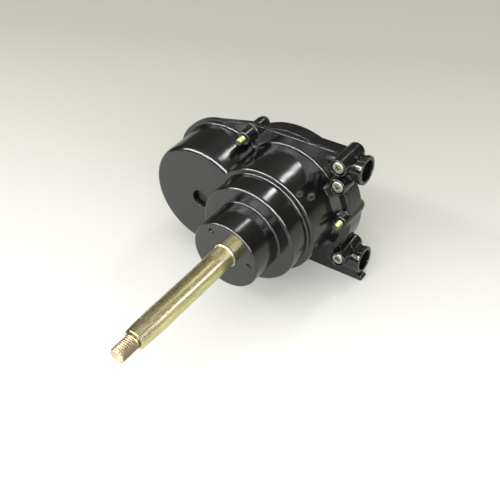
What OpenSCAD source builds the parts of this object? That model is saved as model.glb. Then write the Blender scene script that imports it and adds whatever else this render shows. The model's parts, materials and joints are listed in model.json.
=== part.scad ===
// Cable steering helm for a small boat.
// The steering shaft runs along Y and points at the helmsman along -Y. +X is the side
// of the cable ports and +Z is up. The origin is on the shaft axis, on the front face of the hub.

/* [Steering shaft] */
// Radius of the straight shaft
shaft_r = 9.525; // [8:0.005:11]
// How far the shaft stands out in front of the hub face
shaft_reach = 124; // [100:1:160]
// Length of the threaded end
thread_len = 18; // [12:0.5:24]
// Outer radius of the thread
thread_r = 6.35; // [5:0.05:7]
// Length of the tapered seat for the wheel
taper_len = 21; // [12:0.5:30]
// Shaft radius at the small end of the taper
taper_r = 8.6; // [7.5:0.05:9]
// Width of the key slot in the taper
wheel_key_w = 4.8; // [3:0.1:6]
// Depth of the key slot in the taper
wheel_key_depth = 2.2; // [1:0.1:2.2]
// Length of the key slot in the taper
wheel_key_len = 14; // [8:0.5:18]
// Direction of the key slot round the shaft, from +X towards +Z
wheel_key_angle = 130; // [0:1:359]
// Chamfer of the shafts' ends
shaft_chamfer = 1; // [0.4:0.1:1.5]

/* [Hub steps] */
// Radius of the front hub
hub1_r = 30; // [26:0.5:34]
// Length of the front hub
hub1_len = 30; // [24:0.5:40]
// Radius of the middle hub
hub2_r = 43.6; // [42:0.1:45]
// Length of the middle hub
hub2_len = 21; // [20:0.5:30]
// Radius of the large hub at its front
hub3_r = 48.5; // [47.5:0.1:52]
// Length of the large hub and of the lobe
hub3_len = 40.8; // [36:0.2:55]
// Growth of the large hub's and the lobe's radius towards the flange
hub_draft = 0.7; // [0:0.1:1.5]
// Edge round of the front hub
hub1_round = 1.8; // [0.5:0.1:3]
// Edge round of the middle hub
hub2_round = 2.6; // [0.5:0.1:3.5]
// Edge round of the large hub
hub3_round = 2.2; // [0.5:0.1:2.4]
// Fillet at the foot of the front and middle hubs
foot_fillet = 1.6; // [0.5:0.1:2]
// Radius of the circle of tapped holes in the hub face
hub_hole_circle = 23; // [20:0.5:25]
// Radius of the tapped holes in the hub face
hub_hole_r = 2.5; // [1.5:0.1:3.2]
// Depth of the tapped holes in the hub face
hub_hole_depth = 14; // [8:0.5:20]
// Number of tapped holes in the hub face
hub_hole_count = 3; // [3:1:6]

/* [Side lobe] */
// Direction of the second shaft from the steering shaft, from +X towards +Z
lay_angle = 182.5; // [178:0.5:186]
// Radius of the lobe at its front
lobe_r = 48.7; // [48:0.1:52]
// Edge round of the lobe
lobe_round = 4.5; // [1:0.1:5]
// Radius of the open hole in the lobe's face
lobe_hole_r = 8; // [6:0.1:9]
// Thickness of the castings' walls
wall = 3.6; // [3:0.1:4]

/* [Flange] */
// Radius of the flange round the cable drum
flange_r = 61.5; // [60:0.1:66]
// Radius of the flange round the lobe
lobe_flange_r = 54; // [52:0.5:58]
// Thickness of the front casting's flange
flange_t = 2.2; // [2:0.1:4]
// Fillet where the large hub and the lobe meet the flange
flange_fillet = 2; // [0.5:0.1:2.4]
// Depth of the rear casting's rim round the cable drum
drum_case_t = 13; // [12.5:0.1:16]
// Edge round of the rear casting's rim
rear_round = 1.8; // [1:0.1:4]
// Thickness of the rear casting's plate behind the lobe
lobe_plate_t = 2; // [1.5:0.1:3]
// Height of the flat top of the flange
flange_top = 58.5; // [56:0.5:60]
// Depth of the flat bottom of the flange
flange_bottom = 63; // [58:0.5:64]
// Right end of the flat top and bottom of the front casting's flange
flat_right = 53; // [50:0.5:54]
// Left end of the flat top and bottom
flat_left = 38; // [30:0.5:42]
// How far the right-hand land stands in front of the flange
land_t = 5; // [3:0.1:7]
// Length of the slope between the large hub and the right-hand land
land_slope = 6; // [2:0.1:7]
// Edge round of the right-hand land
land_round = 1.5; // [0.5:0.1:2.5]
// Half height of the right-hand land
land_half = 30; // [24:0.5:32]

/* [Cable ports] */
// Height of each port's axis above and below the shaft, also the cable's radius on the drum
port_z = 45.5; // [45:0.1:46]
// Distance of the upper port's face from the shaft
port_reach = 67.8; // [67:0.1:72]
// How far the lower port and its screw lie beyond the upper ones
lower_shift = 2.2; // [0:0.1:3]
// Distance of the port tubes' inner ends from the shaft
port_start = 36; // [32:0.5:40]
// Outer radius of the port tubes
port_tube_r = 11.2; // [10.8:0.1:11.6]
// Outer radius of the collar at each port's mouth
port_collar_r = 12.1; // [11.8:0.1:13]
// Length of the collar at each port's mouth
port_collar_len = 3; // [2:0.1:6]
// Edge round of the collars
port_round = 0.8; // [0.3:0.1:1.2]
// Radius of the socket for the cable's end fitting
port_socket_r = 9; // [8:0.1:9.6]
// Depth of the rear casting's blocks under the port tubes
port_block_t = 10; // [9:0.1:12]
// Distance of the end of the foot below the lower port from the shaft
foot_reach = 72.5; // [66:0.5:80]
// Height of the foot below the lower port
foot_h = 4.6; // [3:0.1:6]
// Depth of the foot below the lower port
foot_t = 5; // [3:0.1:9]
// Depth of the socket for the cable's end fitting
port_socket_depth = 11; // [8:0.5:12]
// Radius of the cable
cable_r = 4.2; // [3.5:0.1:4.4]

/* [Fasteners] */
// Distance of the right-hand through bolt from the shaft
right_bolt = 56.4; // [55.5:0.1:57]
// Distance of the left-hand through bolts from the shaft
left_bolts = 62.4; // [61:0.1:64]
// Angle between each left-hand bolt and the line to the second shaft
bolt_spread = 57.3; // [55:0.1:59]
// Radius of the through bolts
bolt_r = 3.1; // [2.5:0.1:3.4]
// Radius of the through bolts' heads
bolt_head_r = 5.4; // [4:0.1:6]
// Height of the through bolts' heads
bolt_head_t = 4; // [2:0.1:5]
// How far the bolts stand out of their front bosses
bolt_tip = 7; // [3:0.5:12]
// Radius of the through bolts' bosses
bolt_boss_r = 6; // [5:0.1:7]
// How far the through bolts' bosses stand in front of the flange
bolt_boss_len = 12.5; // [8:0.5:16]
// Edge round of the bosses
boss_round = 1; // [0.4:0.1:1.2]
// Fillet at the foot of the through bolts' bosses
boss_fillet = 1.2; // [0.4:0.1:1.3]
// Distance of the port screws from the shaft, along X
screw_x = 53; // [51:0.5:54]
// Distance of each port screw from the port's axis, along Z
screw_off = 9; // [8.6:0.1:9.5]
// Radius of the port screws
screw_r = 2.6; // [2:0.1:3]
// Radius of the port screws' heads
screw_head_r = 5.2; // [4:0.1:5.4]
// Clear space round the port screws' heads
screw_clear = 0.8; // [0.4:0.1:0.8]
// Height of the port screws' heads
screw_head_t = 3.4; // [2:0.1:4]
// Radius of the port screws' bosses
screw_boss_r = 7.3; // [7.2:0.1:8]
// How far the port screws' bosses stand in front of the flange
screw_boss_len = 13.5; // [10:0.5:18]
// Depth of the counterbores for the port screws' heads
screw_sink = 3.9; // [3:0.1:6]
// How far the rear screw bosses stand behind the rear casting
rear_boss_len = 2.5; // [2:0.5:8]
// Edge round of the rear screw bosses
rear_boss_round = 2; // [0.5:0.1:3]

/* [Gears] */
// Gear module
gear_module = 2; // [1.9:0.05:2]
// Teeth of the drive pinion on the steering shaft
drive_teeth = 22; // [21:1:22]
// Teeth of the gear that it turns
lay_teeth = 42; // [41:1:42]
// Teeth of the small pinion on the second shaft
lay_pinion_teeth = 19; // [18:1:20]
// Face width of the drive pinion
drive_face = 12; // [8:0.5:14]
// Face width of the lay gear
lay_face = 10; // [6:0.5:11]
// Face width of the drum gear
drum_face = 7.5; // [5:0.5:9]
// Gap at each flank of a pair of meshed teeth
flank_gap = 0.2; // [0.1:0.02:0.3]
// Pressure angle
pressure_angle = 20; // [18:0.5:22]
// Length of the drive pinion's hub in front of its teeth
pinion_hub_len = 9; // [6:0.5:14]
// Wall of the gears' hubs round their shafts
gear_hub_wall = 6; // [5:0.1:7]
// Width of the rim round the recess in the lay gear's face
recess_rim = 5; // [4:0.1:8]

/* [Drum and clutch] */
// Wall of the drum's hub round its bushing
drum_hub_wall = 5; // [3:0.1:7]
// Height of the step that carries the drum gear
drum_step = 6; // [3:0.1:8]
// Thickness of the drum's rim under the cable
rim_wall = 3; // [2:0.1:5]
// Width of the drum's rim
rim_w = 9; // [8.9:0.1:9.4]
// How far the drum's rim stands past the cable's centre line
rim_lip = 1; // [0.5:0.1:2]
// Thickness of the drum's web
web_t = 6; // [4:0.1:7]
// Number of rivets through the drum and its gear
rivet_count = 6; // [3:1:8]
// Radius of the rivets
rivet_r = 2.5; // [1.5:0.1:3]
// Radius of the rivets' heads
rivet_head_r = 4; // [3.2:0.1:5]
// Distance of the rivets from the edge of the drum's step
rivet_edge = 8; // [6:0.1:9]
// Wall of the brake drum
brake_wall = 3.4; // [2:0.1:4]
// Radial thickness of the wrap spring's wire
spring_wire = 2; // [1.2:0.1:2.4]
// Axial thickness of the wrap spring's wire
spring_wire_w = 1.9; // [1.2:0.1:2.4]
// Space between the wrap spring's turns
spring_space = 0.6; // [0.5:0.05:1]
// Turns of the wrap spring
spring_turns = 5.5; // [3:0.5:6]

/* [Bearings and fits] */
// Wall of the steering shaft's bushings
bush_wall = 1.6; // [1.2:0.1:2.2]
// How far the front bushing stands out of the hub face
bush_lip = 0.6; // [0.2:0.1:1]
// Length of the rear bearings
bearing_len = 9; // [6:0.5:14]
// Radius of the second shaft
lay_shaft_r = 8; // [7:0.1:8.2]
// Radius of the second shaft's journals
lay_journal_r = 7; // [6:0.1:7.4]
// Running clearance of a shaft in its bushing, on the radius
run_gap = 0.05; // [0.02:0.01:0.1]
// Clearance of a pressed or bolted fit, on the radius
press_gap = 0.02; // [0.01:0.01:0.05]
// Clear space between parts that turn past each other
turn_gap = 0.4; // [0.3:0.05:0.6]
// Thickness of thrust washers and of the retaining ring
washer_t = 1.5; // [1:0.1:2]
// Radial width of thrust washers and of the retaining ring
washer_w = 4; // [2:0.1:5]
// Radial wall of the spacer on the second shaft
spacer_wall = 3; // [2.8:0.1:3.4]
// Space between the gears' tips and the castings
tip_gap = 1.2; // [0.8:0.1:2]
// Side of the square keys
key_side = 4.8; // [3:0.1:5]

/* [Hidden] */
$fn = 72;
// How far a cutting shape runs past the face that it opens
over = 1;
// How far inside the lobe flange's edge the flange's straight sides end
edge_dip = 0.3;
// Depth of a tooth below the pitch circle, in modules
dedendum = 1.25;

// Stations along the shaft
hub2_y = hub1_len;
hub3_y = hub2_y + hub2_len;
flange_y = hub3_y + hub3_len;
split_y = flange_y + flange_t;
case_y = split_y + drum_case_t;
land_y = flange_y - land_t;
clutch_y = hub2_y + wall + washer_t + turn_gap;
pinion_y = hub3_y + wall;
gear1_y = pinion_y + pinion_hub_len;
drive_end = gear1_y + drive_face;
drum_front = drive_end + 2 * washer_t + turn_gap;
cable_y = split_y + rim_w / 2 + 2 * turn_gap;
track_y = cable_y + rim_w / 2 + turn_gap;
gear2_y = track_y + turn_gap;
gear2_end = gear2_y + drum_face;
dome_y = gear2_end + washer_t + 2 * turn_gap;
dome_end = dome_y + wall;
bush_end = dome_y + bearing_len;
lay_bush_end = gear1_y - washer_t - 2 * turn_gap;
bolt_face = flange_y - bolt_boss_len;
screw_face = flange_y - screw_boss_len;
spring_start = clutch_y + spring_wire_w;
spring_pitch = spring_wire_w + spring_space;
spring_rings = 48;

// Radii worked out from the fits
bush_r = shaft_r + bush_wall;
rim_r = port_z + rim_lip;
track_r = port_z + cable_r + turn_gap;
hub_cavity_r = hub3_r - wall;
brake_r = hub2_r - wall;
brake_bore_r = brake_r - brake_wall;
spring_r = brake_bore_r - turn_gap - spring_wire / 2;
clutch_r = spring_r - spring_wire / 2 - turn_gap / 2;
lobe_cavity_r = lobe_r - wall;
lay_bush_r = lay_journal_r + bush_wall;
spacer_r = lay_shaft_r + spacer_wall;
drum_hub_r = bush_r + drum_hub_wall;
drum_step_r = drum_hub_r + drum_step;
rivet_circle = drum_step_r + rivet_edge;
web_r = port_z - cable_r - rim_wall;

// Gear sizes: both pairs share one centre distance
centre_dist = gear_module * (drive_teeth + lay_teeth) / 2;
drum_teeth = drive_teeth + lay_teeth - lay_pinion_teeth;
lay_pos = centre_dist * [cos(lay_angle), sin(lay_angle)];
dome_cavity_r = gear_module * (drum_teeth / 2 + 1) + tip_gap;
lay_dome_r = gear_module * (lay_pinion_teeth / 2 + 1) + tip_gap;

// Places of fasteners, as [x, z]
bolt_places = [
    right_bolt * [cos(lay_angle + 180), sin(lay_angle + 180)],
    left_bolts * [cos(lay_angle - bolt_spread), sin(lay_angle - bolt_spread)],
    left_bolts * [cos(lay_angle + bolt_spread), sin(lay_angle + bolt_spread)]
];
screw_places = [
    [screw_x, port_z + screw_off],
    [screw_x, port_z - screw_off],
    [screw_x + lower_shift, screw_off - port_z]
];
rivet_places = [for (i = [0:rivet_count - 1])
    rivet_circle * [cos(360 * i / rivet_count), sin(360 * i / rivet_count)]];

paint_black = [0.06, 0.06, 0.06];
zinc_gold = [0.72, 0.62, 0.32];
zinc_pale = [0.85, 0.82, 0.7];
steel_grey = [0.55, 0.56, 0.58];
bronze = [0.72, 0.52, 0.28];
cast_grey = [0.62, 0.63, 0.64];

// Points of an arc round [cx, cy]
function arc(cx, cy, r, from, to, steps = 6) =
    [for (i = [0:steps]) let (a = from + (to - from) * i / steps) [cx + r * cos(a), cy + r * sin(a)]];

// Where a tangent from point p meets a circle; side is 1 or -1
function tangent_point(p, c, r, side) =
    let (d = norm(p - c), a = atan2(p[1] - c[1], p[0] - c[0]) + side * acos(r / d))
    c + r * [cos(a), sin(a)];

// Involute gear outline with a tooth centred on +X
function roll(r, base) = sqrt(max(0, pow(r / base, 2) - 1)) * 180 / PI;
function inv_angle(r, base) = roll(r, base) - acos(base / max(r, base));
function flank(teeth, steps = 4) =
    let (
        pitch = gear_module * teeth / 2,
        base = pitch * cos(pressure_angle),
        root = pitch - dedendum * gear_module,
        tip = pitch + gear_module,
        first = max(base, root),
        half = 90 / teeth - flank_gap / 2 / pitch * 180 / PI
    )
    concat(
        [[root, half + inv_angle(pitch, base) - inv_angle(first, base)]],
        [for (i = [0:steps])
            let (r = first + (tip - first) * i / steps)
            [r, half + inv_angle(pitch, base) - inv_angle(r, base)]]
    );
function gear_points(teeth) =
    let (side = flank(teeth), last = len(side) - 1)
    [for (t = [0:teeth - 1], k = [0:2 * last + 1])
        let (
            p = k <= last ? side[k] : side[2 * last + 1 - k],
            a = 360 * t / teeth + (k <= last ? -p[1] : p[1])
        )
        p[0] * [cos(a), sin(a)]];

// Shapes along the shaft's direction: 2D x and y become X and Z
module plate(from, to) {
    translate([0, to, 0]) rotate([90, 0, 0]) linear_extrude(to - from) children();
}
module rod(r, from, to, place = [0, 0]) {
    translate([place[0], from, place[1]]) rotate([-90, 0, 0]) cylinder(r = r, h = to - from);
}
module ring(outer, inner, from, to, place = [0, 0]) {
    difference() {
        rod(outer, from, to, place);
        rod(inner, from - over, to + over, place);
    }
}
// Turned shape: points are [radius, y]
module turned(points, place = [0, 0]) {
    translate([place[0], 0, place[1]]) rotate([-90, 0, 0]) rotate_extrude() polygon(points);
}
module gear(teeth, turn, from, to, place = [0, 0]) {
    plate(from, to) translate(place) rotate(turn) polygon(gear_points(teeth));
}
// Square key slot or key, lying half in a shaft of radius r
module key_bar(r, side, from, to, turn = 90, place = [0, 0]) {
    translate([place[0], 0, place[1]]) rotate([0, -turn, 0])
        translate([r - side / 2, from, -side / 2]) cube([side, to - from, side]);
}

// Outline of the bolted joint between the two castings
module flange_outline() {
    circle(flange_r);
    translate(lay_pos) circle(lobe_flange_r);
    for (side = [1, -1]) {
        edge = side > 0 ? flange_top : flange_bottom;
        corner = [-flat_left, side * edge];
        polygon([
            [flat_right, side * edge], corner,
            tangent_point(corner, lay_pos, lobe_flange_r - edge_dip, side), lay_pos, [0, 0], [flat_right, 0]
        ]);
    }
}

module hub_body() {
    turned(concat(
        [[0, 0]],
        arc(hub1_r - hub1_round, hub1_round, hub1_round, -90, 0),
        arc(hub1_r + foot_fillet, hub2_y - foot_fillet, foot_fillet, 180, 90),
        arc(hub2_r - hub2_round, hub2_y + hub2_round, hub2_round, -90, 0),
        arc(hub2_r + foot_fillet, hub3_y - foot_fillet, foot_fillet, 180, 90),
        arc(hub3_r - hub3_round, hub3_y + hub3_round, hub3_round, -90, 0),
        arc(hub3_r + hub_draft + flange_fillet, flange_y - flange_fillet, flange_fillet, 180, 90),
        [[hub3_r + hub_draft + flange_fillet, split_y], [0, split_y]]
    ));
}

module lobe_body() {
    turned(concat(
        [[0, hub3_y]],
        arc(lobe_r - lobe_round, hub3_y + lobe_round, lobe_round, -90, 0),
        arc(lobe_r + hub_draft + flange_fillet, flange_y - flange_fillet, flange_fillet, 180, 90),
        [[lobe_r + hub_draft + flange_fillet, split_y], [0, split_y]]
    ), lay_pos);
}

// Boss with a rounded front rim, and the fillet where one meets a face
module boss(r, from, to, place) {
    turned(concat(
        [[0, from]], arc(r - boss_round, from + boss_round, boss_round, -90, 0), [[r, to], [0, to]]
    ), place);
}
module boss_foot(r, face, place) {
    turned(concat(
        [[0, face - boss_fillet]], arc(r + boss_fillet, face - boss_fillet, boss_fillet, 180, 90),
        [[r + boss_fillet, face + flange_t / 2], [0, face + flange_t / 2]]
    ), place);
}

// A shape drawn along each port's axis, from a distance from the shaft
module at_ports(from) {
    for (side = [1, -1])
        translate([from + (side > 0 ? 0 : lower_shift), cable_y, side * port_z]) rotate([0, 90, 0]) children();
}
// Port tubes with their collars, between two stations along the shaft
module port_tubes(from, to) {
    long = port_reach - port_start;
    intersection() {
        at_ports(port_start) rotate_extrude() polygon(concat(
            [[0, 0], [port_tube_r, 0], [port_tube_r, long - port_collar_len]],
            [[port_collar_r, long - port_collar_len]],
            arc(port_collar_r - port_round, long - port_round, port_round, 0, 90), [[0, long]]
        ));
        translate([0, from, -flange_bottom]) cube([foot_reach, to - from, 2 * flange_bottom]);
    }
}
// Sockets for the cable's end fittings
module port_sockets() {
    at_ports(port_reach - port_socket_depth) cylinder(r = port_socket_r, h = port_socket_depth + over);
}
// Outline of the foot below the lower port
module foot_outline() {
    translate([0, -flange_bottom]) {
        square([foot_reach - foot_h / 2, foot_h]);
        translate([foot_reach - foot_h / 2, foot_h / 2]) circle(foot_h / 2);
    }
}

// Raised land on the right of the large hub, with a slope down from the hub
module right_land() {
    intersection() {
        turned(concat(
            [[bush_r, split_y], [bush_r, land_y - land_slope], [hub3_r, land_y - land_slope]],
            [[hub3_r + land_slope, land_y]],
            arc(flange_r - land_round, land_y + land_round, land_round, -90, 0),
            [[flange_r, split_y]]
        ));
        translate([0, 0, -land_half]) cube([flange_r, split_y, 2 * land_half]);
    }
}

// Front casting: hubs, lobe, flange and bosses
module gear_housing() {
    color(paint_black) difference() {
        union() {
            hub_body();
            lobe_body();
            plate(flange_y, split_y) {
                flange_outline();
                foot_outline();
                translate([0, -flange_bottom])
                    square([port_reach + lower_shift - port_collar_len, flange_bottom - port_z]);
            }
            right_land();
            for (p = bolt_places) boss(bolt_boss_r, bolt_face, split_y, p);
            for (i = [1, 2]) boss_foot(bolt_boss_r, flange_y, bolt_places[i]);
            intersection() {
                boss_foot(bolt_boss_r, land_y, bolt_places[0]);
                rod(flange_r - land_round, hub3_y, split_y);
            }
            for (p = screw_places) boss(screw_boss_r, screw_face, split_y, p);
            port_tubes(hub3_y, split_y - turn_gap);
        }
        port_sockets();
        rod(bush_r + press_gap, -over, pinion_y);
        rod(brake_r, hub2_y + wall, pinion_y + over);
        rod(hub_cavity_r, pinion_y, split_y + over);
        difference() {
            rod(lobe_cavity_r, pinion_y, split_y + over, lay_pos);
            rod(lay_bush_r + wall, hub3_y, lay_bush_end, lay_pos);
        }
        rod(lobe_hole_r, hub3_y - over, pinion_y + over, lay_pos);
        rod(lay_bush_r + press_gap, pinion_y, gear1_y, lay_pos);
        for (i = [0:hub_hole_count - 1]) {
            a = 360 * i / hub_hole_count;
            rod(hub_hole_r, -over, hub_hole_depth, hub_hole_circle * [cos(a), sin(a)]);
        }
        for (p = bolt_places) rod(bolt_r + press_gap, hub3_y, split_y + over, p);
        for (p = screw_places) {
            rod(screw_r + press_gap, hub3_y, split_y + over, p);
            rod(screw_head_r + screw_clear, hub3_y, screw_face + screw_sink, p);
        }
    }
}

// Rear casting: drum track, cable ports and bearing bosses
module drum_housing() {
    color(paint_black) difference() {
        union() {
            plate(split_y, split_y + lobe_plate_t) flange_outline();
            turned(concat(
                [[0, split_y], [flange_r, split_y]],
                arc(flange_r - rear_round, case_y - rear_round, rear_round, 0, 90), [[0, case_y]]
            ));
            plate(split_y, split_y + port_block_t) for (side = [1, -1]) {
                edge = side * (side > 0 ? flange_top : flange_bottom);
                right = side > 0 ? flange_r : port_reach + lower_shift - port_collar_len;
                polygon([[0, 0], [port_start, side * (port_z - port_tube_r)],
                    [right, side * (port_z - port_tube_r)], [right, edge], [0, edge]]);
            }
            plate(split_y, split_y + foot_t) foot_outline();
            port_tubes(split_y, dome_end);
            turned(concat(
                [[0, split_y], [dome_cavity_r + wall, split_y]],
                arc(dome_cavity_r, dome_end - wall, wall, 0, 90), [[0, dome_end]]
            ));
            turned(concat(
                [[0, split_y], [lay_dome_r + wall, split_y]],
                arc(lay_dome_r, dome_end - wall, wall, 0, 90), [[0, dome_end]]
            ), lay_pos);
            rod(bush_r + wall, split_y, bush_end + wall);
            rod(lay_bush_r + wall, split_y, bush_end + wall, lay_pos);
            for (p = bolt_places) rod(bolt_boss_r, split_y, case_y, p);
            for (p = screw_places) turned(concat(
                [[0, split_y], [screw_boss_r, split_y]],
                arc(screw_boss_r - rear_boss_round, case_y + rear_boss_len - rear_boss_round, rear_boss_round, 0, 90),
                [[0, case_y + rear_boss_len]]
            ), p);
        }
        rod(track_r, split_y - over, track_y);
        rod(dome_cavity_r, split_y, dome_y);
        rod(lay_dome_r, track_y, dome_y, lay_pos);
        rod(spacer_r + turn_gap, split_y - over, dome_y, lay_pos);
        rod(bush_r + press_gap, dome_y - over, bush_end);
        rod(lay_bush_r + press_gap, dome_y - over, bush_end, lay_pos);
        at_ports(0) cylinder(r = cable_r + turn_gap, h = port_reach);
        port_sockets();
        for (p = bolt_places) {
            rod(bolt_r + press_gap, split_y - over, case_y + over, p);
            rod(bolt_head_r + turn_gap, case_y, case_y + bolt_head_t + over, p);
        }
        for (p = screw_places) rod(screw_r + press_gap, flange_y - bolt_boss_len, case_y + press_gap, p);
    }
}

module hub_bushing() {
    color(zinc_pale) difference() {
        turned([
            [0, -bush_lip], [bush_r - bush_lip, -bush_lip], [bush_r, 0],
            [bush_r, hub2_y + wall], [0, hub2_y + wall]
        ]);
        rod(shaft_r + run_gap, -2 * bush_lip, hub2_y + wall + over);
    }
}
module rear_bushing() {
    color(bronze) ring(bush_r, shaft_r + run_gap, dome_y, bush_end);
}
module front_lay_bushing() {
    color(bronze) ring(lay_bush_r, lay_journal_r + run_gap, pinion_y, lay_bush_end, lay_pos);
}
module rear_lay_bushing() {
    color(bronze) ring(lay_bush_r, lay_journal_r + run_gap, dome_y, bush_end, lay_pos);
}
module lay_washers() {
    color(bronze) {
        ring(lay_bush_r, lay_journal_r + run_gap, lay_bush_end, lay_bush_end + washer_t, lay_pos);
        ring(lay_bush_r + wall, lay_journal_r + run_gap, dome_y - washer_t, dome_y, lay_pos);
    }
}
module brake_drum() {
    color(steel_grey) ring(brake_r - press_gap, brake_bore_r, hub2_y + wall, pinion_y);
}
module through_bolts() {
    color(zinc_gold) for (p = bolt_places) {
        rod(bolt_r, bolt_face - bolt_tip, case_y + bolt_head_t / 2, p);
        translate([p[0], case_y, p[1]]) rotate([-90, 0, 0])
            cylinder(r = bolt_head_r, h = bolt_head_t, $fn = 6);
    }
}
module port_screws() {
    seat = screw_face + screw_sink;
    color(zinc_pale) for (p = screw_places) {
        rod(screw_r, seat - screw_head_t / 2, case_y, p);
        rod(screw_head_r, seat - screw_head_t, seat, p);
    }
}

module steering_shaft() {
    shoulder = thread_len - shaft_reach;
    rear = bush_end - turn_gap;
    color(zinc_gold) difference() {
        turned([
            [0, -shaft_reach], [thread_r - shaft_chamfer, -shaft_reach],
            [thread_r, shaft_chamfer - shaft_reach], [thread_r, shoulder],
            [taper_r, shoulder], [shaft_r, shoulder + taper_len],
            [shaft_r, rear - shaft_chamfer], [shaft_r - shaft_chamfer, rear], [0, rear]
        ]);
        key_bar(taper_r - wheel_key_depth + wheel_key_w / 2, wheel_key_w,
            shoulder - thread_len, shoulder + wheel_key_len, wheel_key_angle);
        key_bar(shaft_r, key_side, clutch_y, drive_end);
    }
}
module thrust_washer() {
    color(bronze) ring(bush_r + washer_w, shaft_r + run_gap, hub2_y + wall, hub2_y + wall + washer_t);
}
module retaining_ring() {
    color(steel_grey) ring(shaft_r + washer_w, shaft_r + press_gap, drive_end, drive_end + washer_t);
}
module clutch_hub() {
    color(steel_grey) difference() {
        rod(clutch_r, clutch_y, pinion_y);
        rod(shaft_r + press_gap, clutch_y - over, pinion_y + over);
        key_bar(shaft_r, key_side, clutch_y - over, pinion_y + over);
    }
}
module drive_pinion() {
    color(steel_grey) difference() {
        union() {
            rod(shaft_r + gear_hub_wall, pinion_y, gear1_y + over);
            gear(drive_teeth, lay_angle, gear1_y, drive_end);
        }
        rod(shaft_r + press_gap, pinion_y - over, drive_end + over);
        key_bar(shaft_r, key_side, pinion_y - over, drive_end + over);
    }
}
module drive_key() {
    color(steel_grey) key_bar(shaft_r, key_side - 2 * press_gap, clutch_y, drive_end);
}

// Wrap spring: one square wire wound round the clutch hub
function spring_frame(i) =
    let (a = 360 * i / spring_rings, y = spring_start + spring_pitch * i / spring_rings)
    [for (c = [[-1, -1], [1, -1], [1, 1], [-1, 1]])
        let (r = spring_r + c[0] * spring_wire / 2)
        [r * cos(a), y + c[1] * spring_wire_w / 2, r * sin(a)]];
module wrap_spring() {
    count = floor(spring_turns * spring_rings);
    points = [for (i = [0:count]) each spring_frame(i)];
    least_gap = min([for (i = [0:count - spring_rings])
        spring_frame(i + spring_rings)[0][1] - spring_frame(i)[3][1]]);
    echo(wrap_spring_least_gap = least_gap);
    sides = [for (i = [0:count - 1], k = [0:3])
        let (a = 4 * i + k, b = 4 * i + (k + 1) % 4)
        each [[a, b, b + 4], [a, b + 4, a + 4]]];
    last = 4 * count;
    ends = [[2, 1, 0], [3, 2, 0], [last, last + 1, last + 2], [last, last + 2, last + 3]];
    color(steel_grey) polyhedron(points, concat(sides, ends));
}

module lay_shaft() {
    front = pinion_y + turn_gap;
    step = lay_bush_end + washer_t + turn_gap;
    rear_step = dome_y - washer_t - turn_gap;
    rear = bush_end - turn_gap;
    color(steel_grey) difference() {
        turned([
            [0, front], [lay_journal_r - shaft_chamfer, front], [lay_journal_r, front + shaft_chamfer],
            [lay_journal_r, step], [lay_shaft_r, step], [lay_shaft_r, rear_step],
            [lay_journal_r, rear_step], [lay_journal_r, rear], [0, rear]
        ], lay_pos);
        key_bar(lay_shaft_r, key_side, gear1_y, gear2_end, 90, lay_pos);
    }
}
module lay_gear() {
    front = gear1_y + (drive_face - lay_face) / 2;
    color(steel_grey) difference() {
        union() {
            gear(lay_teeth, lay_angle + 180 + 180 / lay_teeth, front, front + lay_face, lay_pos);
            rod(lay_shaft_r + gear_hub_wall, gear1_y, drive_end, lay_pos);
        }
        rod(lay_shaft_r + press_gap, gear1_y - over, drive_end + over, lay_pos);
        key_bar(lay_shaft_r, key_side, gear1_y - over, drive_end + over, 90, lay_pos);
        ring(gear_module * (lay_teeth / 2 - dedendum) - recess_rim, lay_shaft_r + gear_hub_wall,
            gear1_y, front + lay_face / 4, lay_pos);
    }
}
module lay_spacer() {
    color(steel_grey) difference() {
        ring(spacer_r, lay_shaft_r + press_gap, drive_end, gear2_y, lay_pos);
        key_bar(lay_shaft_r, key_side, drive_end - over, gear2_y + over, 90, lay_pos);
    }
}
module lay_pinion() {
    color(steel_grey) difference() {
        gear(lay_pinion_teeth, lay_angle + 180, gear2_y, gear2_end, lay_pos);
        rod(lay_shaft_r + press_gap, gear2_y - over, gear2_end + over, lay_pos);
        key_bar(lay_shaft_r, key_side, gear2_y - over, gear2_end + over, 90, lay_pos);
    }
}
module lay_key() {
    color(steel_grey) key_bar(lay_shaft_r, key_side - 2 * press_gap, gear1_y, gear2_end, 90, lay_pos);
}

module cable_drum() {
    color(cast_grey) difference() {
        union() {
            rod(drum_hub_r, drum_front, gear2_end);
            rod(drum_step_r, cable_y, gear2_end);
            rod(rim_r, cable_y - web_t / 2, cable_y + web_t / 2);
            ring(rim_r, web_r, cable_y - rim_w / 2, cable_y + rim_w / 2);
            rod(rivet_circle + rivet_head_r, cable_y, gear2_y);
        }
        rod(bush_r + press_gap, drum_front - over, gear2_end + over);
        translate([0, cable_y, 0]) rotate([-90, 0, 0])
            rotate_extrude() translate([port_z, 0]) circle(cable_r + turn_gap / 4);
        for (p = rivet_places) rod(rivet_r + press_gap, cable_y - rim_w, gear2_end + over, p);
    }
}
module drum_gear() {
    color(steel_grey) difference() {
        gear(drum_teeth, lay_angle + 180 / drum_teeth, gear2_y, gear2_end);
        rod(drum_step_r + press_gap, gear2_y - over, gear2_end + over);
        for (p = rivet_places) rod(rivet_r + press_gap, gear2_y - over, gear2_end + over, p);
    }
}
module drum_bushing() {
    color(bronze) ring(bush_r, shaft_r + run_gap, drum_front, gear2_end + washer_t);
}
module drum_rivets() {
    face = cable_y - web_t / 2;
    color(steel_grey) for (p = rivet_places) {
        rod(rivet_r, face - rivet_r / 2, gear2_end, p);
        rod(rivet_head_r, face - rivet_r / 2, face, p);
    }
}
module drum_washer() {
    color(bronze) ring(drum_hub_r, shaft_r + run_gap, drum_front - washer_t, drum_front);
}

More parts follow.
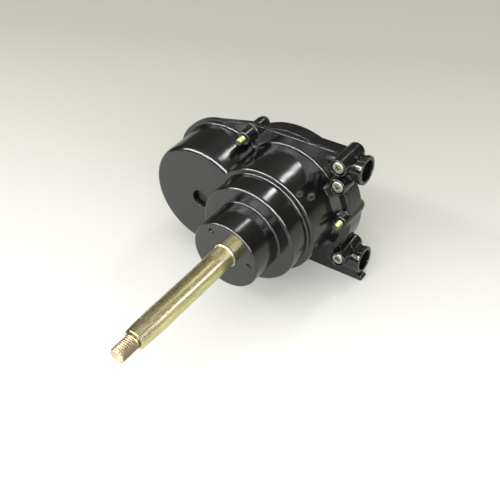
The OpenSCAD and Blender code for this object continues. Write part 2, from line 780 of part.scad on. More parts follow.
gear_housing();
drum_housing();
hub_bushing();
rear_bushing();
front_lay_bushing();
rear_lay_bushing();
brake_drum();
through_bolts();
port_screws();
steering_shaft();
thrust_washer();
retaining_ring();
clutch_hub();
wrap_spring();
drive_pinion();
drive_key();
lay_shaft();
lay_gear();
lay_spacer();
lay_pinion();
lay_key();
lay_washers();
cable_drum();
drum_gear();
drum_bushing();
drum_rivets();
drum_washer();
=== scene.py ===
"""Boat steering helm: finishes, threads, screw heads, floor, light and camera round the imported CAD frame."""

import json
import math

import bmesh
import bpy
import numpy as np
from mathutils import Matrix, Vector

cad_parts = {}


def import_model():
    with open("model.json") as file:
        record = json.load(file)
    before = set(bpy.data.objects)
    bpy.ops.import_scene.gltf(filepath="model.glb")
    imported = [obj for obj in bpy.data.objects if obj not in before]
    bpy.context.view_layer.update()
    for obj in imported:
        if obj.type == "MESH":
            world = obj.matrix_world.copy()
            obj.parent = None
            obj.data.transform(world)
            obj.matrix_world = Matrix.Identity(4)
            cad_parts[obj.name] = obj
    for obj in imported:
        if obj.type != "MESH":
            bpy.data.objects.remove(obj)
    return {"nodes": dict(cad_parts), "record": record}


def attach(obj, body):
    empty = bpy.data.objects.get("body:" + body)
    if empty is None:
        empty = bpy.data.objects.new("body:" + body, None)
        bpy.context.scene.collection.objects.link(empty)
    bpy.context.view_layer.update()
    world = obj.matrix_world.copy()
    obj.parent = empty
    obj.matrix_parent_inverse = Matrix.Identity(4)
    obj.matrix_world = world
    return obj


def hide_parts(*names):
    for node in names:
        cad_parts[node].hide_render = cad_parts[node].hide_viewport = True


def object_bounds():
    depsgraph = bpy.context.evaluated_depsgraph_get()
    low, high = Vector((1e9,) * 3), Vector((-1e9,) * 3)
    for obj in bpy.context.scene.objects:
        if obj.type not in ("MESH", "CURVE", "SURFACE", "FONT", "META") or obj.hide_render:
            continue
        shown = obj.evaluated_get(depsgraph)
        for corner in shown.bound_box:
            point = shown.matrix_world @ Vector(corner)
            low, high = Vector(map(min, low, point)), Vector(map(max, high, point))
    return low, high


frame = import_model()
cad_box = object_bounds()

MM = 0.001
TURN = 2 * math.pi

# Sizes and places are in millimetres, in the frame of the solids: the shaft lies along Y, and the face of the
# front hub is at y = 0

# Steering shaft: stations along Y, radii, chamfers, and the key slot's width, floor, end and angle
SHAFT_TIP, SHOULDER, TAPER_END, SHAFT_BACK = -124.0, -106.0, -85.0, 123.0
SHAFT_R, TAPER_R, THREAD_R, NECK_R = 9.525, 8.6, 6.35, 5.75
TIP_CHAMFER, NECK_W, SHOULDER_CHAMFER, BACK_CHAMFER = 1.1, 1.0, 0.4, 1.0
KEY_W, KEY_FLOOR, KEY_END, KEY_ANGLE = 4.8, 6.4, -92.0, math.radians(124)

# Threads: pitch, depth of cut, and how far the shaft's keeps from tip and shoulder. Those of the shaft and
# the bolts are 1.27 and 1 mm in pitch, too fine to show, and are drawn coarser
SHAFT_PITCH, SHAFT_CUT, THREAD_INSET = 1.8, 0.72, 1.2
BOLT_PITCH, BOLT_CUT = 1.7, 0.6
HOLE_PITCH, HOLE_CUT = 1.0, 0.4

# Mesh rows to each pitch of a thread, and mesh columns round the shaft and across its key slot
SHAFT_ROWS, BOLT_ROWS, HOLE_ROWS, SHAFT_COLUMNS, KEY_COLUMNS = 14, 12, 10, 170, 16

# Through bolts: reach from the steering shaft and angle from the line to the second shaft, stations and radii
LAY_ANGLE = math.radians(182.5)
BOLT_PLACES = ((56.4, math.pi), (62.4, -math.radians(57.3)), (62.4, math.radians(57.3)))
BOLT_TIP, BOLT_FACE, BOLT_SUNK, BOLT_R, BOLT_CHAMFER = 72.3, 79.3, 2.0, 3.1, 0.8
HEAD_Y, HEAD_T, HEAD_R = 107.0, 4.0, 5.4
# Bolt heads' outline: share of the height, and the radius that the chamfer leaves there
HEAD_OUTLINE = (
    (0.0, BOLT_R), (0.0, HEAD_R), (0.6, HEAD_R), (0.8, 5.35), (0.92, 5.05), (1.0, 4.8), (1.0, 4.2))

# Screws beside the cable ports: place, own turn, head, shank and six-lobed recess
SCREW_X, SCREW_SHIFT, PORT_Z, SCREW_OFF = 53.0, 2.2, 45.5, 9.0
SCREW_TURNS = (0.3, 0.1, 0.45)
SCREW_FACE, SCREW_HEAD_R, SCREW_HEAD_T, SCREW_RIM, RIM_BORDER = 78.8, 4.8, 3.4, 0.7, 0.4
SCREW_R, SCREW_POINT_R, SCREW_POINT, SCREW_END = 2.6, 2.0, 28.0, 28.7
RECESS_R, RECESS_LOBE, RECESS_DEPTH = 2.5, 0.45, 2.6
RECESS_FOOT, RECESS_MOUTH, RECESS_MOUTH_DEPTH = 0.92, 0.12, 0.15

# Tapped holes of the hub's face: radius, circle, depth, and the thread skin's mouth, gap, wall and base
HOLE_R, HOLE_CIRCLE, HOLE_FLOOR = 2.5, 23.0, 9.0
HOLE_MOUTH, HOLE_GAP, HOLE_WALL, HOLE_BASE = 0.5, 0.02, 0.2, 0.3

# Front bushing: bore, outside, end, lip and the groove outside the lip
BUSH_BORE, BUSH_R, BUSH_END = 9.575, 11.125, 33.6
LIP_R, LIP_OUT, LIP_CHAMFER, GROOVE_DEPTH = 10.45, 0.6, 0.2, 1.2

# Front flange: face, top edge, half width of the crown above it, and the rod that rounds the edge
FLANGE_Y, FLANGE_TOP, CROWN_HALF = 91.8, 58.5, 20.0
EDGE_LEFT, EDGE_RIGHT, EDGE_R, EDGE_END_R, EDGE_SUNK, EDGE_RUNOUT = -17.0, 43.0, 0.9, 0.45, 0.54, 2.0

# Inner ends of the port tubes: distance from the shaft, radius, and the share of their height that stays
PORT_START, PORT_TUBE_R, PORT_END_SHARE = 36.0, 11.2, 0.03

# Vertices of a casting: how near to a face they count as on it, and how near to each other they merge
ON_FACE, MERGE = 0.05, 0.002

# Edges stay sharp past these angles, in degrees
TURNED_SHARP, CAST_SHARP = 35, 32

# The photograph's view: focal length and frame in pixels, place and axes
FOCAL_PX, FRAME_PX = 800, 500
VIEW_PLACE = (301.044, -358.847, 406.859)
VIEW_RIGHT = (0.815004, 0.577698, -0.045104)
VIEW_UP = (-0.349633, 0.552339, 0.756756)
VIEW_BACK = (0.462089, -0.600989, 0.65214)


# Materials


def colour(code):
    """Linear RGBA from an sRGB hex code."""
    srgb = np.array([int(code[i : i + 2], 16) for i in (1, 3, 5)]) / 255
    return (*np.where(srgb <= 0.04045, srgb / 12.92, ((srgb + 0.055) / 1.055) ** 2.4), 1.0)


def add(tree, kind, out=None, sockets=None, stops=(), **settings):
    """Adds a node with its settings, and gives its output of a name or the node itself. Each named socket is
    set to a value or linked to another node's output, and a colour ramp gets stops of (place, hex code)."""
    node = tree.nodes.new("ShaderNode" + kind)
    for name, value in settings.items():
        setattr(node, name, value)
    for name, value in (sockets or {}).items():
        if isinstance(value, bpy.types.NodeSocket):
            tree.links.new(value, node.inputs[name])
        else:
            node.inputs[name].default_value = value
    for i, (place, code) in enumerate(stops):
        elements = node.color_ramp.elements
        stop = elements[i] if i < len(elements) else elements.new(place)
        stop.position, stop.color = place, colour(code)
    return node.outputs[out] if out else node


def start(name):
    """A new material, its node tree, and the Object coordinates in it."""
    mat = bpy.data.materials.new(name)
    mat.use_nodes = True
    mat.node_tree.nodes.clear()
    return mat, mat.node_tree, add(mat.node_tree, "TexCoord", "Object")


def surface(tree, sockets):
    """Ends a material with its shader, whose sockets are set or linked."""
    shader = add(tree, "BsdfPrincipled", "BSDF", sockets)
    add(tree, "OutputMaterial", sockets={"Surface": shader})


def painted_recess_shade(tree, base):
    """A colour painted darker, towards a dark brown, where the surface is shut in, as in thread roots and
    recesses: painted shade from an ambient occlusion mask.
    """
    reach = 1.5
    air = add(tree, "AmbientOcclusion", "AO", {"Distance": reach * MM}, samples=8, only_local=True)
    unshaded_share = add(tree, "MapRange", "Result", {"Value": air, "From Min": 0.35, "From Max": 0.9})
    return add(tree, "Mix", "Result", {"Factor": unshaded_share, "A": colour("#1c1a15"), "B": base}, data_type="RGBA")


def enamel():
    """Gloss black enamel sprayed on a die casting: a deep black that mirrors its surroundings, with a faint
    orange peel, slow waves of the casting below it, dust specks, and hand smears that dull the gloss."""
    mat, tree, place = start("gloss_black_enamel")
    peel_w, wave_w, smear_w, speck_w, edge_r = 1.8, 22, 14, 0.9, 1.1
    peel = add(tree, "TexNoise", "Fac", {"Vector": place, "Scale": 1 / (peel_w * MM), "Detail": 1.0})
    waves = add(tree, "TexNoise", "Fac", {"Vector": place, "Scale": 1 / (wave_w * MM), "Detail": 2.0})
    smears = add(tree, "TexNoise", "Fac", {"Vector": place, "Scale": 1 / (smear_w * MM), "Detail": 6.0,
                                           "Distortion": 0.8})
    specks = add(tree, "TexNoise", "Fac", {"Vector": place, "Scale": 1 / (speck_w * MM), "Detail": 2.0})
    dust = add(tree, "MapRange", "Result", {"Value": specks, "From Min": 0.66, "From Max": 0.78,
                                            "To Max": 0.25})
    base = add(tree, "Mix", "Result", {"Factor": dust, "A": colour("#0f0f0e"), "B": colour("#23221f")},
               data_type="RGBA")
    gloss = add(tree, "MapRange", "Result", {"Value": smears, "From Min": 0.3, "From Max": 0.75,
                                             "To Min": 0.13, "To Max": 0.21})
    edges = add(tree, "Bevel", "Normal", {"Radius": edge_r * MM}, samples=6)
    slow = add(tree, "Bump", "Normal", {"Height": waves, "Strength": 0.12, "Distance": 0.6 * MM,
                                        "Normal": edges})
    fine = add(tree, "Bump", "Normal", {"Height": peel, "Strength": 0.035, "Distance": 0.12 * MM,
                                        "Normal": slow})
    surface(tree, {"Base Color": base, "Roughness": gloss, "Normal": fine})
    return mat


def yellow_zinc(name, wear):
    """Yellow chromated zinc on ground steel: a half-bright metal whose film shifts from straw through green
    and rose to brown olive in long streaks, with fine grinding lines and small dull spots. The wear function
    turns the film's colour and normal into those of this piece."""
    mat, tree, place = start(name)
    line_w, streak_w, cloud_w, spot_w, stretch = 0.8, 3.2, 11, 1.4, 0.035
    along = add(tree, "Mapping", "Vector", {"Vector": place, "Scale": (1.0, stretch, 1.0)})
    lines = add(tree, "TexNoise", "Fac", {"Vector": along, "Scale": 1 / (line_w * MM), "Detail": 1.0})
    streaks = add(tree, "TexNoise", "Fac", {"Vector": along, "Scale": 1 / (streak_w * MM), "Detail": 3.0})
    clouds = add(tree, "TexNoise", "Fac", {"Vector": place, "Scale": 1 / (cloud_w * MM), "Detail": 3.0})
    spots = add(tree, "TexNoise", "Fac", {"Vector": place, "Scale": 1 / (spot_w * MM), "Detail": 2.0})
    film = add(tree, "ValToRGB", "Color", {"Fac": streaks}, [
        (0.3, "#7f7549"), (0.42, "#b4ab76"), (0.5, "#cfc9a4"), (0.58, "#abad6a"), (0.7, "#bfac88")])
    tint = add(tree, "ValToRGB", "Color", {"Fac": clouds}, [
        (0.32, "#a4aa66"), (0.5, "#cfc8a2"), (0.68, "#b9987c")])
    base = add(tree, "Mix", "Result", {"Factor": 0.3, "A": film, "B": tint}, data_type="RGBA")
    normal = add(tree, "Bump", "Normal", {"Height": clouds, "Strength": 0.015, "Distance": 0.3 * MM})
    base, normal = wear(tree, place, base, normal, streaks, spots)
    ground = add(tree, "MapRange", "Result", {"Value": lines, "From Min": 0.4, "From Max": 0.65,
                                              "To Max": 0.3})
    base = add(tree, "Mix", "Result", {"Factor": ground, "A": base, "B": colour("#5a5236")}, data_type="RGBA")
    dull = add(tree, "MapRange", "Result", {"Value": spots, "From Min": 0.35, "From Max": 0.75,
                                            "To Min": 0.26, "To Max": 0.48})
    # The colour gets painted shade in shut-in places
    surface(tree, {"Base Color": painted_recess_shade(tree, base), "Roughness": dull, "Normal": normal, "Metallic": 1.0})
    return mat


def bolt_wear(tree, place, base, normal, streaks, spots):
    """The bolts' film has worn to a dark olive, less so in spots."""
    worn = add(tree, "MapRange", "Result", {"Value": spots, "From Min": 0.3, "From Max": 0.7,
                                            "To Min": 0.9, "To Max": 0.6})
    base = add(tree, "Mix", "Result", {"Factor": worn, "A": base, "B": colour("#49531f")}, data_type="RGBA")
    return base, normal


def shaft_wear(tree, place, base, normal, streaks, spots):
    """The shaft's film is brown on one side and green on the other, with painted light over it: bands round
    the shaft run from a near-white painted highlight to a dark olive painted shade. The lathe has left rings
    on the taper, and the thread is cut rough."""
    shaded_side_way = (-0.816, 0.0, 0.578)
    across = add(tree, "VectorMath", "Value", {0: place, 1: shaded_side_way}, operation="DOT_PRODUCT")
    side = add(tree, "MapRange", "Result", {"Value": across, "From Min": -SHAFT_R * MM,
                                            "From Max": SHAFT_R * MM})
    # Painted highlight and painted shade: bands across the shaft from near-white to dark olive, over the
    # film's colours
    film_and_light_bands = add(tree, "ValToRGB", "Color", {"Fac": side}, [
        (0.0, "#c2c49a"), (0.15, "#d2d88e"), (0.23, "#c6c880"), (0.31, "#e4deb4"), (0.38, "#f6f0dc"),
        (0.46, "#cfc59a"), (0.6, "#a89e70"), (0.7, "#857b4c"), (0.86, "#a09668"), (1.0, "#f0ead0")])
    base = add(tree, "Mix", "Result", {"Factor": 0.65, "A": base, "B": film_and_light_bands}, data_type="RGBA")

    # Lathe rings, drawn coarser than the real feed of 0.2 mm. At scale 1 a wave is a turn / 20 long
    ring_w, fade = 1.6, 4.0
    rings = add(tree, "TexWave", "Fac", {"Vector": place, "Scale": TURN / (20 * ring_w * MM),
                                         "Distortion": 0.6}, bands_direction="Y")
    length = add(tree, "SeparateXYZ", "Y", {"Vector": place})
    taper = add(tree, "MapRange", "Result", {"Value": length, "From Min": TAPER_END * MM,
                                             "From Max": (TAPER_END - fade) * MM, "To Max": 0.3})
    cut = add(tree, "ValToRGB", "Color", {"Fac": rings}, [(0.25, "#4a3426"), (0.6, "#e6d2b8")])
    base = add(tree, "Mix", "Result", {"Factor": taper, "A": base, "B": cut}, data_type="RGBA")
    normal = add(tree, "Bump", "Normal", {"Height": rings, "Strength": taper, "Distance": 0.1 * MM,
                                          "Normal": normal})

    screw = add(tree, "MapRange", "Result", {"Value": length, "From Min": SHAFT_TIP * MM,
                                             "From Max": SHOULDER * MM})
    thread = add(tree, "ValToRGB", "Color", {"Fac": screw}, [
        (0.05, "#000000"), (0.09, "#ececec"), (0.93, "#ececec"), (1.0, "#000000")])
    rough_cut = add(tree, "ValToRGB", "Color", {"Fac": streaks}, [(0.35, "#42352b"), (0.65, "#8a7562")])
    base = add(tree, "Mix", "Result", {"Factor": thread, "A": base, "B": rough_cut}, data_type="RGBA")
    return base, normal


def metal(name, deep, light, roughness, grain):
    """Bare or plated metal: mottled between two tones at the grain's size, in mm, and unevenly polished."""
    mat, tree, place = start(name)
    mottle = add(tree, "TexNoise", "Fac", {"Vector": place, "Scale": 1 / (grain * MM), "Detail": 4.0})
    base = add(tree, "ValToRGB", "Color", {"Fac": mottle}, [(0.3, deep), (0.7, light)])
    shine = add(tree, "MapRange", "Result", {"Value": mottle, "From Min": 0.25, "From Max": 0.75,
                                             "To Min": roughness * 0.8, "To Max": roughness * 1.25})
    bump = add(tree, "Bump", "Normal", {"Height": mottle, "Strength": 0.1, "Distance": 0.05 * MM})
    # The colour gets painted shade in shut-in places
    surface(tree, {"Base Color": painted_recess_shade(tree, base), "Roughness": shine, "Normal": bump, "Metallic": 1.0})
    return mat


FINISH = {
    "black_paint": enamel(),
    "yellow_zinc": yellow_zinc("yellow_chromated_zinc", bolt_wear),
    "yellow_zinc_shaft": yellow_zinc("yellow_chromated_shaft", shaft_wear),
    # Clear zinc plate on screws and the bushing's lip: pale cream, half bright
    "pale_zinc": metal("clear_zinc_plate", "#8f8d7f", "#bab8a8", 0.36, 2.5),
    # Oil-filled sintered bronze: brown and matt
    "bronze": metal("sintered_bronze", "#6e4f2a", "#a37a45", 0.42, 0.8),
    # Oil-filled sintered iron: matt and nearly black, darker than the metal so that the lobe's hole reads
    # dark, as painted shade
    "sintered_iron": metal("sintered_iron", "#141210", "#211f1c", 0.5, 0.8),
    # Cut gear steel under a film of dark grease: dark grey with a soft shine, kept dark so that the lobe's
    # hole reads dark, partly as painted shade
    "steel": metal("greased_gear_steel_and_shade", "#2a2926", "#45443f", 0.34, 1.5),
    # Bare die-cast aluminium: light grey and dull
    "cast_aluminium": metal("die_cast_aluminium", "#8a8b8c", "#aeb0b0", 0.45, 1.2),
}


# Meshes


def dress(mesh, angle):
    """Smooth shading with sharp edges past an angle in degrees."""
    mesh.polygons.foreach_set("use_smooth", np.ones(len(mesh.polygons), bool))
    mesh.set_sharp_from_angle(angle=math.radians(angle))


def piece(name, body, slot, verts, faces, replaced, finish=None):
    """A closed mesh, given in millimetres, that rides on a body and stands for CAD nodes. It wears the finish
    named by the slot argument, or another."""
    mesh = bpy.data.meshes.new(name)
    mesh.from_pydata((np.asarray(verts) * MM).tolist(), [], faces)
    dress(mesh, TURNED_SHARP)
    obj = bpy.data.objects.new(name, mesh)
    bpy.context.scene.collection.objects.link(obj)
    mesh.materials.append(FINISH[finish or slot])
    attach(obj, body)
    if replaced:
        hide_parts(*replaced)
    return obj


def skin(points, first=0, ring=False):
    """Vertices and faces of a closed skin over points[row, column]: the columns run round the piece and quads
    join neighbours. A fan closes each end, or on a ring the last row joins the first. Faces are turned so
    that the enclosed volume is positive."""
    rows, columns, _ = points.shape
    verts = points.reshape(-1, 3)
    i, j = np.meshgrid(np.arange(rows if ring else rows - 1), np.arange(columns), indexing="ij")
    below, beside = (i + 1) % rows, (j + 1) % columns
    corners = [i * columns + j, i * columns + beside, below * columns + beside, below * columns + j]
    quads = np.stack(corners, -1).reshape(-1, 4)
    fans = np.empty((0, 3), int)
    if not ring:
        here = np.arange(columns)
        after = (here + 1) % columns
        last = (rows - 1) * columns
        middle = np.full(columns, len(verts))
        first_fan = np.stack([after, here, middle], -1)
        last_fan = np.stack([last + here, last + after, middle + 1], -1)
        fans = np.vstack([first_fan, last_fan])
        verts = np.vstack([verts, points[0].mean(0), points[-1].mean(0)])
    tris = verts[np.vstack([quads[:, [0, 1, 2]], quads[:, [0, 2, 3]], fans])]
    if (tris[:, 0] * np.cross(tris[:, 1], tris[:, 2])).sum() < 0:
        quads, fans = quads[:, ::-1], fans[:, ::-1]
    return verts, [*(quads + first).tolist(), *(fans + first).tolist()]


def joined(parts):
    """Several closed skins as one list of vertices and one of faces."""
    verts, faces = [], []
    for points in parts:
        more_verts, more_faces = skin(points, sum(map(len, verts)))
        verts.append(more_verts)
        faces += more_faces
    return np.vstack(verts), faces


def full_turn(columns):
    """Angles of a number of columns once round, as one row."""
    return np.linspace(0, TURN, columns, endpoint=False)[None]


def polar(reach, angle):
    """The place (x, z) at a reach and an angle from the steering shaft's axis."""
    return reach * math.cos(angle), reach * math.sin(angle)


def round_y(radius, y, angle, centre=(0.0, 0.0)):
    """Points at a radius and angle round an axis along Y: x = cx + r cos a, z = cz + r sin a."""
    radius, y, angle = np.broadcast_arrays(radius, y, angle)
    return np.stack([centre[0] + radius * np.cos(angle), y, centre[1] + radius * np.sin(angle)], -1)


def thread_depth(y, angle, pitch, depth, ends):
    """Depth of a right-hand vee thread: a triangle wave of y / pitch + angle / turn, flattened at crest and
    root, that runs out towards the ends."""
    flat = 0.15
    wave = np.abs(2 * np.mod(y / pitch + angle / TURN, 1) - 1)
    fade = np.clip((y - ends[0]) / pitch + 1, 0, 1) * np.clip((ends[1] - y) / pitch, 0, 1)
    return depth * fade * np.clip((1 + 2 * flat) * wave - flat, 0, 1)


def shaft_profile():
    """Stations and radii of the shaft, row by row, and which rows the key slot cuts. The tip's radius grows
    with y up to the thread's, neck and shoulder follow, and the taper's runs in a line to the straight's."""
    thread_y = np.arange(SHAFT_TIP, SHOULDER - THREAD_INSET, SHAFT_PITCH / SHAFT_ROWS)
    thread_r = np.minimum(THREAD_R, THREAD_R - TIP_CHAMFER + (thread_y - SHAFT_TIP))
    neck_y = np.array([SHOULDER - NECK_W, SHOULDER, SHOULDER, SHOULDER + SHOULDER_CHAMFER])
    neck_r = np.array([NECK_R, NECK_R, TAPER_R - SHOULDER_CHAMFER, TAPER_R])
    # Rows on both sides of the taper's end keep the bend in the shading there short
    bend_before, bend_after = 4.0, 1.0
    taper_y = np.array([KEY_END, KEY_END, TAPER_END - bend_before, TAPER_END])
    taper_r = TAPER_R + (SHAFT_R - TAPER_R) * (taper_y - SHOULDER) / (TAPER_END - SHOULDER)
    back_y = np.array([TAPER_END + bend_after, SHAFT_BACK - BACK_CHAMFER, SHAFT_BACK])
    back_r = np.array([SHAFT_R, SHAFT_R, SHAFT_R - BACK_CHAMFER])
    y = np.r_[thread_y, neck_y, taper_y, back_y]
    radius = np.r_[thread_r, neck_r, taper_r, back_r]
    row = np.arange(len(y))
    slot_first, slot_last = len(thread_y) + 2, len(thread_y) + len(neck_y)
    return y[:, None], radius[:, None], ((row >= slot_first) & (row <= slot_last))[:, None]


def steering_shaft():
    """The shaft: its profile turned round Y, less the thread's depth. In the rows of the key slot, a band of
    columns as wide as the key sinks to a flat floor, at r = floor / cos a, with its outer columns at the foot
    of the walls."""
    y, radius, cut = shaft_profile()
    half = np.arcsin(KEY_W / 2 / radius)
    outer_angle = KEY_ANGLE + half + (TURN - 2 * half) * np.linspace(0, 1, SHAFT_COLUMNS)[None]
    across = np.linspace(-1, 1, KEY_COLUMNS)[None, 1:-1]
    band_angle = KEY_ANGLE + half * across
    ends = (SHAFT_TIP + THREAD_INSET, SHOULDER - NECK_W)
    outer_r = radius - thread_depth(y, outer_angle, SHAFT_PITCH, SHAFT_CUT, ends)
    band_r = radius - thread_depth(y, band_angle, SHAFT_PITCH, SHAFT_CUT, ends)
    side = KEY_W / 2 * across / across.max()
    floor_r, floor_angle = np.hypot(KEY_FLOOR, side), KEY_ANGLE + np.arctan2(side, KEY_FLOOR)
    band = round_y(np.where(cut, floor_r, band_r), y, np.where(cut, floor_angle, band_angle))
    points = np.concatenate([round_y(outer_r, y, outer_angle), band], 1)
    return piece("steering_shaft_turned", "steering_shaft_set", "yellow_zinc", *skin(points),
                 ["steering_shaft"], "yellow_zinc_shaft")


def through_bolts():
    """Three bolts: a threaded tip of radius against y, a plain shank, and a head whose radius is the smaller
    of the hexagon's, which is flat / cos a on each side, and the chamfer's."""
    angle = full_turn(72)
    thread_end = BOLT_FACE + BOLT_SUNK
    y = np.arange(BOLT_TIP, thread_end, BOLT_PITCH / BOLT_ROWS)[:, None]
    tip = np.minimum(BOLT_R, BOLT_R - BOLT_CHAMFER + (y - BOLT_TIP))
    tip = tip - thread_depth(y, angle, BOLT_PITCH, BOLT_CUT, (BOLT_TIP + BOLT_CHAMFER, thread_end))
    shank = np.full_like(angle, BOLT_R)
    hexagon = HEAD_R * math.cos(TURN / 12) / np.cos(np.mod(angle, TURN / 6) - TURN / 12)
    share, chamfer = np.array(HEAD_OUTLINE).T[:, :, None]
    radius = np.vstack([tip, shank, shank, np.minimum(hexagon, chamfer)])
    station = np.vstack([y, [[thread_end], [HEAD_Y]], HEAD_Y + HEAD_T * share])
    parts = [round_y(radius, station, angle, polar(reach, LAY_ANGLE + turn)) for reach, turn in BOLT_PLACES]
    return piece("through_bolts_cut", "housing", "yellow_zinc", *joined(parts), ["through_bolts"])


def port_screws():
    """Three screws: a six-lobed recess, whose outline is r = recess + lobe cos 6a, a flat face with a
    quarter-round rim, a head and a shank. Each is turned by its own angle."""
    angle = full_turn(96)
    lobes = RECESS_R + RECESS_LOBE * np.cos(6 * angle)
    rim = np.linspace(0, math.pi / 2, 6)
    flat_r = SCREW_HEAD_R - SCREW_RIM
    recess_r = [lobes * RECESS_FOOT, lobes, lobes + RECESS_MOUTH]
    recess_y = [RECESS_DEPTH, RECESS_MOUTH_DEPTH, 0.0]
    rim_r, rim_y = flat_r + SCREW_RIM * np.sin(rim), SCREW_RIM * (1 - np.cos(rim))
    body_r = np.r_[flat_r - RIM_BORDER, rim_r, SCREW_HEAD_R, SCREW_R, SCREW_R, SCREW_POINT_R]
    body_y = np.r_[0.0, rim_y, SCREW_HEAD_T, SCREW_HEAD_T, SCREW_POINT, SCREW_END]
    radius = np.vstack([*recess_r, np.tile(body_r[:, None], lobes.shape)])
    y = SCREW_FACE + np.r_[recess_y, body_y][:, None]
    places = ((SCREW_X, PORT_Z + SCREW_OFF), (SCREW_X, PORT_Z - SCREW_OFF),
              (SCREW_X + SCREW_SHIFT, SCREW_OFF - PORT_Z))
    parts = [round_y(radius, y, angle + turn, place) for place, turn in zip(places, SCREW_TURNS)]
    return piece("port_screws_cut", "housing", "pale_zinc", *joined(parts), ["port_screws"])


def tapped_holes():
    """Painted threads in the hub face's three holes: thin cups, inside the bore's radius less a vee thread's
    depth."""
    angle = full_turn(60)
    y = np.arange(HOLE_FLOOR, HOLE_MOUTH, -HOLE_PITCH / HOLE_ROWS)[:, None]
    thread = thread_depth(y, angle, HOLE_PITCH, HOLE_CUT, (HOLE_MOUTH, HOLE_FLOOR + HOLE_PITCH))
    outer = np.full_like(angle, HOLE_R + HOLE_WALL)
    radius = np.vstack([HOLE_R - HOLE_GAP - thread, outer, outer])
    station = np.vstack([y, [[HOLE_MOUTH], [HOLE_FLOOR + HOLE_BASE]]])
    parts = [round_y(radius, station, angle, polar(HOLE_CIRCLE, turn)) for turn in TURN / 3 * np.arange(3)]
    return piece("tapped_holes", "housing", "black_paint", *joined(parts), [])


def hub_bushing():
    """The front bushing: a closed profile of radius against y turned round the shaft, with a thin lip and a
    groove outside it."""
    profile = np.array([
        (BUSH_BORE, -LIP_OUT), (LIP_R - LIP_CHAMFER, -LIP_OUT), (LIP_R, LIP_CHAMFER - LIP_OUT),
        (LIP_R, GROOVE_DEPTH), (BUSH_R, GROOVE_DEPTH), (BUSH_R, BUSH_END), (BUSH_BORE, BUSH_END)])
    points = round_y(profile[:, :1], profile[:, 1:], full_turn(128))
    return piece("hub_bushing_turned", "housing", "pale_zinc", *skin(points, ring=True), ["hub_bushing"])


def flange_edge():
    """The rounded top edge of the front flange: a straight rod of radius against x, thinner at its ends and
    sunk into the corner, with y and z from the cosine and sine of the angle."""
    x = np.array([EDGE_LEFT, EDGE_LEFT + EDGE_RUNOUT, EDGE_RIGHT - EDGE_RUNOUT, EDGE_RIGHT])[:, None]
    radius = np.array([EDGE_END_R, EDGE_R, EDGE_R, EDGE_END_R])[:, None]
    angle = full_turn(32)
    y = FLANGE_Y + EDGE_SUNK + radius * np.cos(angle)
    z = FLANGE_TOP - EDGE_SUNK + radius * np.sin(angle)
    points = np.stack(np.broadcast_arrays(x, y, z), -1)
    return piece("flange_edge", "housing", "black_paint", *skin(points), [])


def pressed(mesh):
    """Small changes to the front casting's copy: the flange's crown goes level with its straight top edge,
    and the port tubes' inner ends sink almost to the flange's face."""
    place = np.empty((len(mesh.vertices), 3))
    mesh.vertices.foreach_get("co", place.ravel())
    x, y, z = place.T / MM
    crown = (np.abs(x) < CROWN_HALF) & (y > FLANGE_Y - ON_FACE) & (z > FLANGE_TOP)
    tube_end = np.abs(x - PORT_START - np.where(z < 0, SCREW_SHIFT, 0)) < ON_FACE
    tube_end &= (np.abs(np.abs(z) - PORT_Z) < PORT_TUBE_R) & (y < FLANGE_Y)
    place[crown, 2] = FLANGE_TOP * MM
    place[tube_end, 1] = (FLANGE_Y - PORT_END_SHARE * (FLANGE_Y - y[tube_end])) * MM
    mesh.vertices.foreach_set("co", place.ravel())


def casting(node):
    """A merged copy of a casting's CAD mesh, so that rounded edges shade smoothly."""
    mesh = frame["nodes"][node].data.copy()
    for layer in ("custom_normal", "sharp_face", "sharp_edge"):
        if layer in mesh.attributes:
            mesh.attributes.remove(mesh.attributes[layer])
    form = bmesh.new()
    form.from_mesh(mesh)
    bmesh.ops.remove_doubles(form, verts=form.verts, dist=MERGE * MM)
    form.to_mesh(mesh)
    form.free()
    if node == "gear_housing":
        pressed(mesh)
    mesh.materials.clear()
    mesh.materials.append(FINISH["black_paint"])
    dress(mesh, CAST_SHARP)
    obj = bpy.data.objects.new(node + "_painted", mesh)
    bpy.context.scene.collection.objects.link(obj)
    weighted = obj.modifiers.new("even_shading", "WEIGHTED_NORMAL")
    weighted.keep_sharp = True
    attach(obj, "housing")
    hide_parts(node)


shaft = steering_shaft()
through_bolts()
port_screws()
tapped_holes()
hub_bushing()
flange_edge()
casting("gear_housing")
casting("drum_housing")

slots = {row["node"]: row["material_slot"] for row in frame["record"]["subparts"]}
for name, node in frame["nodes"].items():
    node.data.materials.clear()
    node.data.materials.append(FINISH[slots[name]])


# Floor, light and camera, in metres


def floor():
    """A wide table top just below the helm, of pale laminate: smooth and half matt, with painted shade that
    makes it greyer at the back.
    """
    half, gap, near, far = 4.0, 0.0002, -0.12, 0.48
    away = (-0.35, 0.94, 0.0)
    z = cad_box[0].z - gap
    corners = [(-half, -half, z), (half, -half, z), (half, half, z), (-half, half, z)]
    mesh = bpy.data.meshes.new("table_top")
    mesh.from_pydata(corners, [], [(0, 1, 2, 3)])
    obj = bpy.data.objects.new("table_top", mesh)
    bpy.context.scene.collection.objects.link(obj)
    mat, tree, place = start("pale_laminate")
    # Painted shade: the table's colour darkens with distance towards the back
    depth = add(tree, "VectorMath", "Value", {0: place, 1: away}, operation="DOT_PRODUCT")
    share = add(tree, "MapRange", "Result", {"Value": depth, "From Min": near, "From Max": far})
    base = add(tree, "ValToRGB", "Color", {"Fac": share}, [(0.0, "#f4f4f2"), (1.0, "#cac9be")])
    surface(tree, {"Base Color": base, "Roughness": 0.55})
    mesh.materials.append(mat)


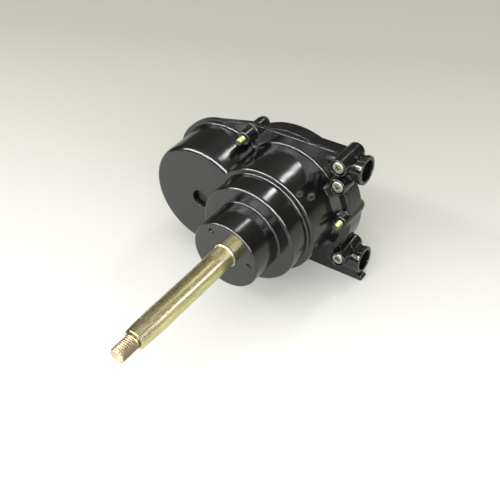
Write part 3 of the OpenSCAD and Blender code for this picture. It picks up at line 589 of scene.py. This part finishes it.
def world():
    """A room with a pale ceiling over dim walls."""
    room = bpy.data.worlds.new("room")
    room.use_nodes = True
    tree = room.node_tree
    tree.nodes.clear()
    height = add(tree, "SeparateXYZ", "Z", {"Vector": add(tree, "TexCoord", "Object")})
    shade = add(tree, "ValToRGB", "Color", {"Fac": height}, [
        (0.0, "#5a5a52"), (0.6, "#807f77"), (1.0, "#f5f4f0")])
    air = add(tree, "Background", "Background", {"Color": shade})
    add(tree, "OutputWorld", sockets={"Surface": air})
    bpy.context.scene.world = room


def lamp(name, toward, distance, size, watts, shift=0.0, matt=True, gloss=True, only=None):
    """A rectangular light in a direction from the helm, facing it, moved sideways by a shift. It lights matt
    surfaces, shows as a mirror image in glossy ones, or both, on all pieces or on one only."""
    light = bpy.data.lights.new(name, "AREA")
    light.shape, light.size, light.size_y = "RECTANGLE", *size
    light.energy = watts
    obj = bpy.data.objects.new(name, light)
    obj.visible_camera = False
    obj.visible_diffuse, obj.visible_glossy = matt, gloss
    ahead = np.array(toward) / np.linalg.norm(toward)
    across = np.cross((0, 0, 1), ahead)
    across /= np.linalg.norm(across)
    up = np.cross(ahead, across)
    helm_middle = np.array((0, 0.04, 0))
    place = ahead * distance + across * shift + helm_middle
    obj.matrix_world = Matrix(np.vstack([np.c_[across, up, ahead, place], [0, 0, 0, 1]]).tolist())
    bpy.context.scene.collection.objects.link(obj)
    if only:
        lit = bpy.data.collections.new(name + "_lit")
        lit.objects.link(only)
        obj.light_linking.receiver_collection = lit


def camera():
    """The photograph's view, with the axes fitted to the helm's circles."""
    data = bpy.data.cameras.new("view")
    data.lens = data.sensor_width * FOCAL_PX / FRAME_PX
    data.clip_start, data.clip_end = 0.02, 50
    obj = bpy.data.objects.new("view", data)
    axes = np.c_[VIEW_RIGHT, VIEW_UP, VIEW_BACK, np.array(VIEW_PLACE) * MM]
    obj.matrix_world = Matrix(np.vstack([axes, [0, 0, 0, 1]]).tolist())
    bpy.context.scene.collection.objects.link(obj)
    bpy.context.scene.camera = obj


floor()
world()
# Long rows of tubes in front: their light on the floor, and their thin bright images along the painted edges
lamp("ceiling_tubes", (0, -1.0, 1.2), 1.56, (7.2, 0.14), 37, shift=1.4)
lamp("tube_glints", (0, -1.0, 1.12), 1.5, (7.2, 0.09), 200, shift=1.4, matt=False)
lamp("second_glints", (0, -1.0, 0.62), 1.2, (6.0, 0.06), 90, shift=1.2, matt=False)
# A small light high behind, whose image is the streak on the side of each hub
lamp("back_softbox", (0.09, 0.645, 0.76), 3.0, (0.36, 0.3), 9)
# A near strip for the shaft's white streak
lamp("shaft_strip", (0.223, 0.06, 0.11), 0.256, (0.15, 0.05), 0.11, matt=False, only=shaft)
# Soft light that lifts the floor's shadows
lamp("left_fill", (-0.4, -0.9, 0.3), 1.3, (1.5, 0.7), 9, gloss=False)
lamp("right_fill", (0.65, -0.7, 0.25), 1.3, (1.5, 0.6), 16, gloss=False)
camera()
bpy.context.scene.view_settings.view_transform = "Standard"
